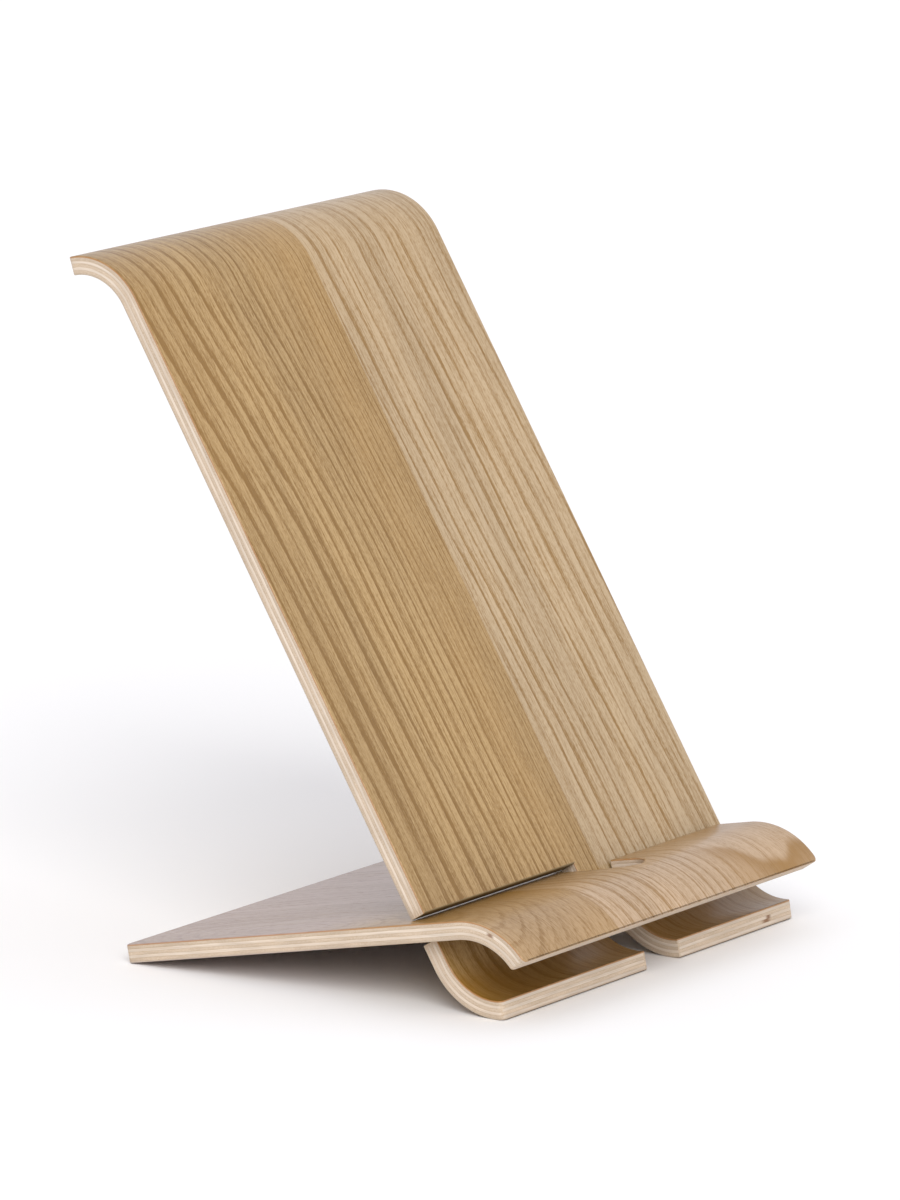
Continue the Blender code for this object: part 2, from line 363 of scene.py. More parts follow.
back_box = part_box("back_panel_face_veneer")
base_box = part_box("base_panel_top_veneer")
NOTCH_LEFT = base_box[0].x + 51.6 * MM
SLOT_END_GAP = 1.9 * MM
back_blank = Blank(
    back_mould, back_box[0].x, back_box[1].x,
    slot=(-math.inf, NOTCH_LEFT + SLOT_END_GAP),
    notch=(NOTCH_LEFT, back_mould.low, -9.0 * MM),
)
base_blank = Blank(
    base_mould, base_box[0].x, base_box[1].x,
    slot=(NOTCH_LEFT, math.inf),
    notch=(NOTCH_LEFT, SLOT_HALF, 13.6 * MM),
)
for title, blank in (("back", back_blank), ("base", base_blank)):
    print(title, "blank: rows, columns", blank.x.shape, "cells of wood", int(blank.wood.sum()))

# %% [markdown]
# ## Growth rings of the back panel
#
# What we call grain is the tree's yearly rings, seen where the slicing knife met them.
# Each vertex therefore gets one number, how many rings lie between it and the start of
# its leaf of veneer. The number grows slowly where rings are wide and fast where they
# are narrow. The material draws a dark band each time it passes a whole number. Leaves
# of veneer are taped edge to edge, so the count and the wood's tone jump at a seam.

# %% Counting rings on the back panel
BACK_SEAM = 8.6 * MM
WIDEST_RING = 5.0 * MM
NARROWEST_RING = 1.05 * MM
RIGHT_RING = 3.1 * MM
RIGHT_START = 47.0
RING_LEAN = 0.04


def wavy(s, x, *waves):
    """A sum of sine waves along the grain: height, length and a phase that x shifts."""
    total = np.zeros_like(s)
    for height, length, phase in waves:
        total = total + height * np.sin(2 * math.pi * (s / length + phase) + x / (9 * MM))
    return total


def smooth(value, low, high):
    """Zero below low, one above high, and an S curve between: t squared times (3 - 2t)."""
    t = np.clip((value - low) / (high - low), 0.0, 1.0)
    return t * t * (3.0 - 2.0 * t)


def back_rings(x, s):
    """Rings from the left edge, with a width that shrinks steadily up to the seam.

    A width that falls in a straight line from w0 to w1 over a leaf of breadth b gives a
    count of b / (w0 - w1) times the logarithm of w0 over the width reached.
    """
    drift = RING_LEAN * s + wavy(s, x, (0.25 * MM, 95 * MM, 0.1), (0.08 * MM, 31 * MM, 0.6))
    lift = smooth(s, 70 * MM, 150 * MM)
    spread = 8.0 * MM * lift * np.clip((BACK_SEAM - x) / (45 * MM), 0.0, 1.0)
    breadth = BACK_SEAM - back_box[0].x + 8 * MM
    place = np.clip(x + drift + spread - back_box[0].x + 2 * MM, 0.0, breadth)
    width = WIDEST_RING + (NARROWEST_RING - WIDEST_RING) * place / breadth
    left = breadth / (WIDEST_RING - NARROWEST_RING) * np.log(WIDEST_RING / width)
    right = RIGHT_START + (x + 1.3 * drift - BACK_SEAM) / RIGHT_RING
    right = right - 1.4 * ((x - BACK_SEAM) / (42 * MM)) ** 2
    return np.where(x < BACK_SEAM, left, right)


def back_warmth(x, s):
    """A little more amber along the left edge, left of the seam, high up, and in the foot."""
    edge = smooth(x, back_box[0].x + 22 * MM, back_box[0].x)
    by_seam = smooth(x, BACK_SEAM - 24 * MM, BACK_SEAM - 6 * MM) * (x < BACK_SEAM)
    upper = smooth(s, 60 * MM, 125 * MM)
    return 0.14 * edge + 0.20 * by_seam + 0.09 * upper + 0.90 * smooth(s, -8 * MM, -15 * MM)


def back_force(x, s):
    """Bands are strongest along the left edge, and a little fainter over the curl."""
    left = 0.22 * smooth(x, back_box[0].x + 26 * MM, back_box[0].x + 12 * MM)
    return 1.0 + left - 0.35 * smooth(s, 132 * MM, 146 * MM)


seam_place = (np.array([BACK_SEAM - SAME_PLACE]), np.array([0.0]))
print("rings left of the back's seam", round(float(back_rings(*seam_place)[0]), 1))

# %% [markdown]
# ## Growth rings of the base panel
#
# A veneer that is cut nearly along the rings shows flames and arches instead of lines.
# The base panel's left leaf has a flame, and the rings of its right leaf open into a wide
# arch over the lip. The wood in the arch and on the shelf is warmer, and the tail gets a
# painted greyish reflection, as if it mirrored the pale room.

# %% Counting rings on the base panel
BASE_SEAM = -20.2 * MM
FLAME_X, FLAME_S = -46.0 * MM, -34.0 * MM
FLAME_RING = 1.9 * MM
MIDDLE_RING = 3.1 * MM
MIDDLE_START = 60.0
ARCH_X = 20.0 * MM


def base_rings(x, s):
    """A flame on the left leaf, and straight rings that open into a wide arch on the right.

    The flame is a set of long ovals: the distance from its heart, with the length along
    the grain counted at less than half. The arch bends straight rings by a square term.
    """
    lean = 0.10 * (s - FLAME_S)
    oval = np.hypot(x - FLAME_X + lean, 0.40 * (s - FLAME_S))
    flame = oval / FLAME_RING + wavy(s, x, (0.06, 60 * MM, 0.2))
    drift = wavy(s, x, (0.4 * MM, 80 * MM, 0.4), (0.15 * MM, 27 * MM, 0.1))
    straight = MIDDLE_START + (x + drift - 0.06 * s - BASE_SEAM) / MIDDLE_RING
    past = np.clip(x - ARCH_X, 0.0, None)
    arch = past * (0.75 + (s - 8 * MM) / (30 * MM)) / (9.0 * MM)
    return np.where(x < BASE_SEAM, flame, straight - 0.9 * past / MIDDLE_RING + arch)


def base_warmth_and_painted_reflection(x, s):
    """Amber where the arch runs out over the lip and on the shelf, and a painted cool grey reflection on
    the tail.

    The arch's border climbs in an S curve towards the right, with small scallops on it.
    """
    border = 15.0 * MM + 9.0 * MM * smooth(x, 23 * MM, 36 * MM) - 3.0 * MM * smooth(x, 38 * MM, 48 * MM)
    border = border + wavy(x, s, (0.5 * MM, 8.5 * MM, 0.1))
    amber = smooth(s - border, -0.8 * MM, 1.6 * MM) * smooth(x, 14 * MM, 30 * MM)
    amber = amber * (1.0 - 0.45 * smooth(s - border, 1.6 * MM, 8 * MM))
    shelf = smooth(s, 17 * MM, 4 * MM) * smooth(s, -30 * MM, 0.0)
    leaf = 0.30 * (x < BASE_SEAM) * smooth(s, -2 * MM, 4 * MM)
    # painted reflection: the tail is pushed towards greyish mauve, as if it mirrored the pale room
    tail = smooth(s, -3 * MM, -16 * MM)
    far_right = 0.14 * smooth(x, 18 * MM, 40 * MM) * smooth(s, 0.0, 6 * MM)
    return 1.05 * amber + 0.85 * shelf + leaf + far_right - 0.7 * tail


def base_force(x, s):
    """Strong straight rings in the middle, faint ones in the flame and inside the arch."""
    ahead = smooth(s, -2 * MM, 4 * MM)
    middle = 0.5 + 0.4 * ahead
    inside = smooth(x, 19 * MM, 30 * MM)
    right = middle * (1.0 - 0.8 * inside)
    return np.where(x < BASE_SEAM, 0.45 + 0.10 * ahead, right)


last_place = (np.array([base_box[1].x]), np.array([0.0]))
print("ring number at the base's right edge", round(float(base_rings(*last_place)[0]), 1))

# %% [markdown]
# ## Laying up a ply
#
# A ply is the blank's grid twice, at its lower and upper level through the thickness,
# with walls between them along the outline. The face veneers have their outer edge eased
# with fine paper, as a quarter round. The core plies get a hair-fine groove at each glue
# line, where glue and sanding leave a little shadow. Every vertex also remembers where
# it lay in the flat blank, so the grain follows the bend as it does in real wood.

# %% From blank to mesh
EASE = 0.24 * MM
EASE_STEPS = 5
GROOVE = 0.018 * MM
GROOVE_WIDTH = 0.05 * MM
SHARP = math.radians(38.0)


def core_edge(low, high):
    """Levels of a core ply's edge and how far each stands in: a groove at both sides."""
    levels = np.array([low, low + GROOVE_WIDTH, high - GROOVE_WIDTH, high])
    return levels, np.array([GROOVE, 0.0, 0.0, GROOVE])


def face_edge(inner, outer):
    """The same for a face veneer: a groove on its inner side, a quarter round outside."""
    side = math.copysign(1.0, outer - inner)
    angle = np.linspace(0.0, math.pi / 2, EASE_STEPS)
    levels = np.append(inner, outer - side * EASE * (1 - np.sin(angle)))
    insets = np.append(GROOVE, EASE * (1 - np.cos(angle)))
    return (levels, insets) if side > 0 else (levels[::-1], insets[::-1])


def pushed_out(blank, edges):
    """The direction in x and s that pushes the outline out evenly, zero inside it.

    Each edge adds its own outward unit normal to its two ends. Twice that sum, over its
    length squared, moves a corner just far enough to shift both its edges by one.
    """
    places = np.stack([blank.x.ravel(), blank.s.ravel()], 1)
    along = places[edges[:, 1]] - places[edges[:, 0]]
    along /= np.linalg.norm(along, axis=1)[:, None]
    outward = np.stack([along[:, 1], -along[:, 0]], 1)
    total = np.zeros_like(places)
    np.add.at(total, edges[:, 0], outward)
    np.add.at(total, edges[:, 1], outward)
    size = (total**2).sum(1)[:, None]
    return places, np.divide(2 * total, size, out=np.zeros_like(total), where=size > 1e-9)


def pressed(mould, places, level):
    """World places of blank points at a level, bent over the mould."""
    u, z = mould.side_view(places[:, 1], np.full(len(places), level))
    return np.stack([places[:, 0], CROSS_Y - u, CROSS_Z + z], 1)


def lay_up(name, blank, levels, insets, figure, grain_across):
    """Makes a ply's mesh. Its attributes tell the material about each point's wood, and where the tail's
    painted reflection and the slot walls' painted shade go.
    """
    edges = blank.outline()
    places, push = pushed_out(blank, edges)
    number = np.arange(blank.x.size).reshape(blank.x.shape)
    quads = np.stack([number[:-1, :-1], number[:-1, 1:], number[1:, 1:], number[1:, :-1]], -1)
    quads = quads[blank.wood]
    used = np.unique(quads)
    rim = np.unique(edges)
    sheet_id = np.full(blank.x.size, -1)
    sheet_id[used] = np.arange(len(used))
    rim_id = np.full(blank.x.size, -1)
    rim_id[rim] = np.arange(len(rim))

    last = len(levels) - 1
    layers, flats, picked = [], [], []
    for order in [0, last] + list(range(1, last)):
        chosen = used if order in (0, last) else rim
        moved = places[chosen] - push[chosen] * insets[order]
        layers.append(pressed(blank.mould, moved, levels[order]))
        flats.append(np.column_stack([places[chosen], np.full(len(chosen), levels[order])]))
        picked.append(chosen)
    points = np.concatenate(layers)
    flat = np.concatenate(flats)

    def layer_id(order, grid_numbers):
        """Vertex numbers of grid points on one layer of the ply."""
        if order == 0:
            return sheet_id[grid_numbers]
        if order == last:
            return len(used) + sheet_id[grid_numbers]
        return 2 * len(used) + (order - 1) * len(rim) + rim_id[grid_numbers]

    faces = [layer_id(0, quads), layer_id(last, quads)[:, ::-1]]
    for order in range(last):
        low, high = layer_id(order, edges), layer_id(order + 1, edges)
        faces.append(np.stack([high[:, 0], high[:, 1], low[:, 1], low[:, 0]], 1))
    faces = np.concatenate(faces)

    mesh = bpy.data.meshes.new(name)
    mesh.from_pydata(points, [], faces)
    mesh.shade_smooth()
    mesh.set_sharp_from_angle(angle=SHARP)
    picked = np.concatenate(picked)
    cut_across = abs(push[picked, 0 if grain_across else 1])
    rings, warmth_and_reflection, force = figure
    values = {
        "ring_count": rings(flat[:, 0], flat[:, 1]),
        "warmth_and_reflection": warmth_and_reflection(flat[:, 0], flat[:, 1]),
        "band_force": force(flat[:, 0], flat[:, 1]),
        "end_grain": np.clip(cut_across, 0.0, 1.0),
        "slot_wall": blank.slot_wall.ravel()[picked],
    }
    for title, numbers in values.items():
        attribute = mesh.attributes.new(title, "FLOAT", "POINT")
        attribute.data.foreach_set("value", numbers.astype(np.float32))
    attribute = mesh.attributes.new("flat_place", "FLOAT_VECTOR", "POINT")
    attribute.data.foreach_set("vector", flat.astype(np.float32).ravel())
    piece = bpy.data.objects.new(name, mesh)
    bpy.context.scene.collection.objects.link(piece)
    return piece


def volume_of(mesh):
    """Signed volume in mm3: a sum of tetrahedra from the origin to each triangle."""
    mesh.calc_loop_triangles()
    corners = np.zeros(len(mesh.loop_triangles) * 3, np.int32)
    mesh.loop_triangles.foreach_get("vertices", corners)
    points = np.zeros(len(mesh.vertices) * 3, np.float32)
    mesh.vertices.foreach_get("co", points)
    a, b, c = points.reshape(-1, 3).astype(float)[corners].reshape(-1, 3, 3).transpose(1, 0, 2) / MM
    return float((a * np.cross(b, c)).sum() / 6)


print("grooves of", round(GROOVE / MM, 3), "mm and an edge eased by", round(EASE / MM, 2), "mm")

# %% [markdown]
# ## Helpers for node recipes
#
# A material here is a short recipe of nodes. Small helpers keep a recipe readable: they
# add a node and join its inputs, do arithmetic, map a number to another number, mix two
# colours, and draw stretched noise in the flat blank.

# %% Node helpers
def node(tree, kind, inputs=None, **settings):
    """Adds a node. An input may be a plain value or another node's output."""
    made = tree.nodes.new(kind)
    for title, value in settings.items():
        setattr(made, title, value)
    for key, value in (inputs or {}).items():
        if isinstance(value, bpy.types.NodeSocket):
            tree.links.new(value, made.inputs[key])
        else:
            made.inputs[key].default_value = value
    return made


def calc(tree, operation, *values):
    """One step of arithmetic on numbers or outputs."""
    return node(tree, "ShaderNodeMath", dict(enumerate(values)), operation=operation).outputs[0]


def eased(tree, value, low, high, out_low=0.0, out_high=1.0):
    """Maps low..high to out_low..out_high along an S curve, and stays flat outside."""
    inputs = {"Value": value, "From Min": low, "From Max": high, "To Min": out_low, "To Max": out_high}
    return node(tree, "ShaderNodeMapRange", inputs, interpolation_type="SMOOTHSTEP").outputs[0]


def curve_of(tree, value, stops):
    """A number read off straight lines between (place, number) stops."""
    made = node(tree, "ShaderNodeValToRGB", {"Fac": value})
    elements = made.color_ramp.elements
    while len(elements) < len(stops):
        elements.new(0.5)
    for element, (place, number) in zip(elements, stops):
        element.position = place
        element.color = (number, number, number, 1.0)
    return made.outputs["Color"]


def blended(tree, share, first, second, mode="MIX"):
    """Two colours mixed by a share."""
    inputs = {0: share, 6: first, 7: second}
    made = node(tree, "ShaderNodeMix", inputs, data_type="RGBA", blend_type=mode)
    return made.outputs[2]


def shaded(tree, colour, grey):
    """A colour made lighter or darker by a number."""
    tone = node(tree, "ShaderNodeCombineColor", {0: grey, 1: grey, 2: grey}).outputs[0]
    return blended(tree, 1.0, colour, tone, "MULTIPLY")


def noted(tree, title):
    """A number that the mesh carries as an attribute."""
    return node(tree, "ShaderNodeAttribute", attribute_name=title).outputs["Fac"]


def streaks(tree, flat, x_size, s_size, level_size, detail, seed):
    """Noise whose spots are stretched to the given sizes in the flat blank."""
    sizes = (1 / x_size, 1 / s_size, 1 / level_size)
    inputs = {"Vector": flat, "Location": (seed, seed, seed), "Scale": sizes}
    scaled = node(tree, "ShaderNodeMapping", inputs)
    inputs = {"Vector": scaled.outputs[0], "Scale": 1.0, "Detail": detail, "Roughness": 0.55}
    return node(tree, "ShaderNodeTexNoise", inputs).outputs[0]


def slot_shadow(tree, s):
    """How much painted shade darkens a slot's wall: 0.9 on the wall, and nothing off its line."""
    off_line = calc(tree, "ABSOLUTE", calc(tree, "SUBTRACT", calc(tree, "ABSOLUTE", s), SLOT_HALF))
    near = eased(tree, off_line, 0.10 * MM, 0.02 * MM, 0.0, 0.9)
    return calc(tree, "MULTIPLY", noted(tree, "slot_wall"), near)


def new_recipe(name):
    """A new material, its Principled shader, and each point's place in the flat blank."""
    material = bpy.data.materials.new(name)
    material.use_nodes = True
    tree = material.node_tree
    flat = node(tree, "ShaderNodeAttribute", attribute_name="flat_place").outputs["Vector"]
    return material, tree, tree.nodes["Principled BSDF"], flat


print("node helpers are ready")

# %% [markdown]
# ## Ash veneer
#
# Ash is ring porous. Each year starts with a row of large open pores, which take the
# lacquer and look amber brown, and ends in dense pale wood. So a band is dark on one
# side and fades to pale on the other, and no two years are alike. Between the bands run
# fine fibres, and short dark pore lines that follow the grain. A thin satin lacquer lies
# over all of it. A picture of wood could be wrapped on instead, but nodes in blank
# coordinates stay sharp and run true over the edges.

# %% Ash veneer recipe
PORE = (0.170, 0.084, 0.020, 1.0)
AMBER = (0.270, 0.132, 0.016, 1.0)
# painted reflection: greyish mauve for the tail, as if it mirrored the pale room
PAINTED_REFLECTION_MAUVE = (0.430, 0.345, 0.370, 1.0)
EDGE_AMBER = (0.400, 0.190, 0.070, 1.0)
EDGE_PALE = (0.520, 0.440, 0.350, 1.0)
# painted shade: dark brown for the walls inside the slots, where shadow falls
SLOT_PAINTED_SHADE = (0.190, 0.135, 0.055, 1.0)
BROAD_BAND = [
    (0.0, 0.05), (0.06, 1.0), (0.30, 0.8), (0.40, 0.3), (0.55, 0.1), (0.63, 0.5), (0.72, 0.05), (1.0, 0.05),
]
THIN_BAND = [
    (0.0, 0.1), (0.05, 1.0), (0.2, 0.85), (0.28, 0.15), (0.46, 0.0), (0.54, 0.5), (0.62, 0.05), (1.0, 0.1),
]
THIN_YEARS = 0.45
RING_WANDER = 0.55
RING_JITTER = 0.10
FIBRE_CONTRAST = 1.7
PINSTRIPE_CONTRAST = 1.2
GRIT_CONTRAST = 2.0
RIPPLE_CONTRAST = 0.10
GROUND_LEFT = 0.17
GROUND_LESS_RIGHT = 0.07
WARM_SHARE = 0.72
PORE_SHARE = 0.35


def around_half(tree, value, strength):
    """A noise value shifted to swing round zero by a strength."""
    return calc(tree, "MULTIPLY", calc(tree, "SUBTRACT", value, 0.5), strength)


def summed(tree, *values):
    """The sum of several outputs."""
    total = values[0]
    for value in values[1:]:
        total = calc(tree, "ADD", total, value)
    return total


def ring_bands(tree, flat, seed):
    """How dark each point's yearly ring is there: 0 in pale wood, near 1 in early wood.

    The share of the way through a ring picks the darkness off one of two curves. A random
    number per year picks between a broad band and a thin line, and sets its force.
    """
    wander = streaks(tree, flat, 2.2 * MM, 70 * MM, 4 * MM, 2.0, seed + 3.0)
    jitter = streaks(tree, flat, 0.5 * MM, 9 * MM, 1 * MM, 2.0, seed + 2.0)
    rings = summed(tree, noted(tree, "ring_count"), around_half(tree, wander, RING_WANDER),
                   around_half(tree, jitter, RING_JITTER))
    year = calc(tree, "FLOOR", rings)
    share = calc(tree, "FRACT", rings)
    chance = node(tree, "ShaderNodeTexWhiteNoise", {"W": year}, noise_dimensions="1D").outputs["Value"]
    early = curve_of(tree, share, BROAD_BAND)
    thin = curve_of(tree, share, THIN_BAND)
    broad = eased(tree, chance, THIN_YEARS - 0.15, THIN_YEARS + 0.15)
    force = eased(tree, calc(tree, "FRACT", calc(tree, "MULTIPLY", chance, 7.3)), 0.0, 1.0, 0.6, 1.0)
    picked = calc(tree, "ADD", calc(tree, "MULTIPLY", early, broad),
                  calc(tree, "MULTIPLY", thin, calc(tree, "SUBTRACT", 1.0, broad)))
    force = calc(tree, "MULTIPLY", force, noted(tree, "band_force"))
    return calc(tree, "MULTIPLY", picked, force)


def ash_veneer(name, tones, seam, edge, end_fade, seed):
    """Ash with its bands, fibres and pores. tones holds pale and dark for each leaf."""
    material, tree, shader, flat = new_recipe(name)
    split = node(tree, "ShaderNodeSeparateXYZ", {0: flat})
    band = ring_bands(tree, flat, seed)
    fibre = streaks(tree, flat, 0.26 * MM, 14 * MM, 0.5 * MM, 3.0, seed)
    pinstripe = streaks(tree, flat, 0.8 * MM, 80 * MM, 1.2 * MM, 2.0, seed + 8.0)
    grit = streaks(tree, flat, 0.16 * MM, 0.9 * MM, 0.2 * MM, 2.0, seed + 12.0)
    ripple = streaks(tree, flat, 5 * MM, 1.3 * MM, 2 * MM, 2.0, seed + 5.0)
    cloud = streaks(tree, flat, 14 * MM, 70 * MM, 9 * MM, 2.0, seed + 1.0)
    pores = eased(tree, streaks(tree, flat, 0.19 * MM, 2.6 * MM, 0.2 * MM, 1.0, seed + 9.0), 0.56, 0.68)
    pores = calc(tree, "MULTIPLY", pores, calc(tree, "ADD", calc(tree, "MULTIPLY", band, 0.65), 0.35))

    amount = summed(tree, band, around_half(tree, fibre, FIBRE_CONTRAST),
                    around_half(tree, pinstripe, PINSTRIPE_CONTRAST),
                    around_half(tree, grit, GRIT_CONTRAST),
                    around_half(tree, ripple, RIPPLE_CONTRAST))
    on_right = calc(tree, "GREATER_THAN", split.outputs[0], seam)
    ground = calc(tree, "SUBTRACT", GROUND_LEFT, calc(tree, "MULTIPLY", on_right, GROUND_LESS_RIGHT))
    amount = node(tree, "ShaderNodeClamp", {0: calc(tree, "ADD", amount, ground)}).outputs[0]

    pale = blended(tree, on_right, tones["left"][0], tones["right"][0])
    dark = blended(tree, on_right, tones["left"][1], tones["right"][1])
    colour = blended(tree, amount, pale, dark)
    warmth_and_reflection = calc(tree, "MULTIPLY", noted(tree, "warmth_and_reflection"), eased(tree, cloud, 0.2, 0.8, 0.75, 1.15))
    amber = calc(tree, "MAXIMUM", calc(tree, "MULTIPLY", warmth_and_reflection, WARM_SHARE), 0.0)
    colour = blended(tree, amber, colour, AMBER)
    # painted reflection: where the tone attribute is below zero, the veneer is mixed towards greyish mauve,
    # as if it mirrored the pale room
    painted_reflection = calc(tree, "MAXIMUM", calc(tree, "MULTIPLY", warmth_and_reflection, -WARM_SHARE), 0.0)
    colour = blended(tree, painted_reflection, colour, PAINTED_REFLECTION_MAUVE)
    # the painted reflection on the tail also raises the share of dark pores there
    pore_share = calc(tree, "ADD", calc(tree, "MULTIPLY", painted_reflection, 2.0 * PORE_SHARE), PORE_SHARE)
    colour = blended(tree, calc(tree, "MULTIPLY", pores, pore_share), colour, PORE)
    colour = shaded(tree, colour, eased(tree, cloud, 0.3, 0.7, 0.94, 1.06))

    depth = calc(tree, "SUBTRACT", HALF, calc(tree, "ABSOLUTE", split.outputs[2]))
    on_edge = eased(tree, depth, 0.02 * MM, 0.14 * MM)
    line = calc(tree, "SUBTRACT", 0.8, calc(tree, "MULTIPLY", noted(tree, "end_grain"), end_fade))
    colour = blended(tree, calc(tree, "MULTIPLY", on_edge, line), colour, edge)
    rub = streaks(tree, flat, 3 * MM, 5 * MM, 1 * MM, 3.0, seed + 4.0)
    worn = calc(tree, "MULTIPLY", eased(tree, depth, 0.0, 0.05 * MM), eased(tree, rub, 0.55, 0.7))
    colour = blended(tree, calc(tree, "MULTIPLY", worn, 0.25), colour, tones["right"][0])
    # painted shade: the slot's wall is darkened brown, as if in the joint's shadow
    colour = blended(tree, slot_shadow(tree, split.outputs[1]), colour, SLOT_PAINTED_SHADE)

    gloss = calc(tree, "ADD", eased(tree, fibre, 0.3, 0.7, 0.38, 0.48), calc(tree, "MULTIPLY", pores, 0.2))
    height = calc(tree, "SUBTRACT", calc(tree, "MULTIPLY", fibre, 0.35), pores)
    bump = node(tree, "ShaderNodeBump", {"Strength": 0.35, "Distance": 0.03 * MM, "Height": height})
    tree.links.new(colour, shader.inputs["Base Color"])
    tree.links.new(gloss, shader.inputs["Roughness"])
    tree.links.new(bump.outputs[0], shader.inputs["Normal"])
    shader.inputs["Coat Weight"].default_value = 0.40
    shader.inputs["Coat Roughness"].default_value = 0.22
    shader.inputs["Specular IOR Level"].default_value = 0.5
    return material


LEFT_LEAF = ((0.445, 0.292, 0.120, 1.0), (0.222, 0.112, 0.013, 1.0))
RIGHT_LEAF = ((0.487, 0.356, 0.205, 1.0), (0.262, 0.142, 0.030, 1.0))
BASE_LEFT = ((0.445, 0.297, 0.150, 1.0), (0.235, 0.122, 0.028, 1.0))
BASE_RIGHT = ((0.500, 0.352, 0.218, 1.0), (0.285, 0.157, 0.046, 1.0))
BACK_TONES = {"left": LEFT_LEAF, "right": RIGHT_LEAF}
BASE_TONES = {"left": BASE_LEFT, "right": BASE_RIGHT}
print("the ash recipe has", len(BACK_TONES) + len(BASE_TONES), "leaves of veneer to colour")

# %% [markdown]
# ## Birch plies
#
# The plies between the veneers show only as stripes along the cut edges. Their grain is
# turned by a quarter from ply to ply. Where the saw cut along the fibres the stripe is
# smooth, pale and streaked. Where it cut across them it shows end grain: browner, with
# fine speckles. Glue leaves a dark hairline at each joint, and here and there a pin knot
# shows as a small brown spot. The walls of the slots get a painted dark brown shade, the
# shadow that falls inside the narrow joint.

# %% Birch ply recipe
GLUE_DARK = 0.03 * MM
GLUE_FADE = 0.10 * MM
GLUE = (0.38, 0.26, 0.15, 1.0)
KNOT = (0.19, 0.085, 0.035, 1.0)
BIRCH_SIDE = ((0.700, 0.605, 0.500, 1.0), (0.620, 0.505, 0.390, 1.0))
BIRCH_END = ((0.640, 0.525, 0.405, 1.0), (0.520, 0.395, 0.275, 1.0))


def birch_ply(name, low, high, grain_across, shade, knots, seed):
    """Birch seen on a cut edge, between its two glue lines."""
    material, tree, shader, flat = new_recipe(name)
    split = node(tree, "ShaderNodeSeparateXYZ", {0: flat})
    end = noted(tree, "end_grain")
    x_size, s_size = (14 * MM, 0.5 * MM) if grain_across else (0.5 * MM, 14 * MM)
    fibre = streaks(tree, flat, x_size, s_size, 0.16 * MM, 4.0, seed)
    speck = streaks(tree, flat, x_size if grain_across else 0.12 * MM,
                    0.12 * MM if grain_across else s_size, 0.12 * MM, 2.0, seed + 6.0)
    patch = streaks(tree, flat, 9 * MM, 9 * MM, 1.5 * MM, 2.0, seed + 2.0)
    side = blended(tree, eased(tree, fibre, 0.36, 0.66), BIRCH_SIDE[0], BIRCH_SIDE[1])
    across = blended(tree, eased(tree, speck, 0.38, 0.66), BIRCH_END[0], BIRCH_END[1])
    colour = blended(tree, eased(tree, end, 0.3, 0.8), side, across)
    colour = shaded(tree, colour, calc(tree, "MULTIPLY", eased(tree, patch, 0.3, 0.7, 0.9, 1.06), shade))

    above = calc(tree, "SUBTRACT", split.outputs[2], low)
    below = calc(tree, "SUBTRACT", high, split.outputs[2])
    to_glue = calc(tree, "MINIMUM", above, below)
    drip = streaks(tree, flat, 2.5 * MM, 2.5 * MM, 2 * MM, 3.0, seed + 7.0)
    drip = eased(tree, drip, 0.3, 0.65, 0.1, 0.5)
    glue = calc(tree, "MULTIPLY", eased(tree, to_glue, GLUE_FADE, GLUE_DARK), drip)
    colour = blended(tree, glue, colour, GLUE)
    for x, s, size in knots:
        aside = calc(tree, "DIVIDE", calc(tree, "SUBTRACT", split.outputs[0], x), size)
        along = calc(tree, "DIVIDE", calc(tree, "SUBTRACT", split.outputs[1], s), size)
        away = calc(tree, "SQRT", calc(tree, "ADD", calc(tree, "MULTIPLY", aside, aside),
                                       calc(tree, "MULTIPLY", along, along)))
        away = calc(tree, "ADD", away, calc(tree, "MULTIPLY", speck, 0.8))
        colour = blended(tree, eased(tree, away, 1.5, 0.5, 0.0, 0.8), colour, KNOT)
    # painted shade: the slot's wall is darkened brown, as if in the joint's shadow
    colour = blended(tree, slot_shadow(tree, split.outputs[1]), colour, SLOT_PAINTED_SHADE)

    gloss = eased(tree, speck, 0.3, 0.7, 0.62, 0.78)
    height = calc(tree, "SUBTRACT", fibre, calc(tree, "MULTIPLY", eased(tree, speck, 0.55, 0.7), end))
    bump = node(tree, "ShaderNodeBump", {"Strength": 0.3, "Distance": 0.03 * MM, "Height": height})
    tree.links.new(colour, shader.inputs["Base Color"])
    tree.links.new(gloss, shader.inputs["Roughness"])
    tree.links.new(bump.outputs[0], shader.inputs["Normal"])
    shader.inputs["Specular IOR Level"].default_value = 0.05
    return material


print("glue lines are dark over", round(2 * GLUE_DARK / MM, 2), "mm")

# %% [markdown]
# ## The fourteen plies
#
# Both panels are laid up in the same order, from one face to the other. The names and
# levels follow the CAD nodes, so each new ply stands in for its node and rides on the
# same panel when the base slides out.

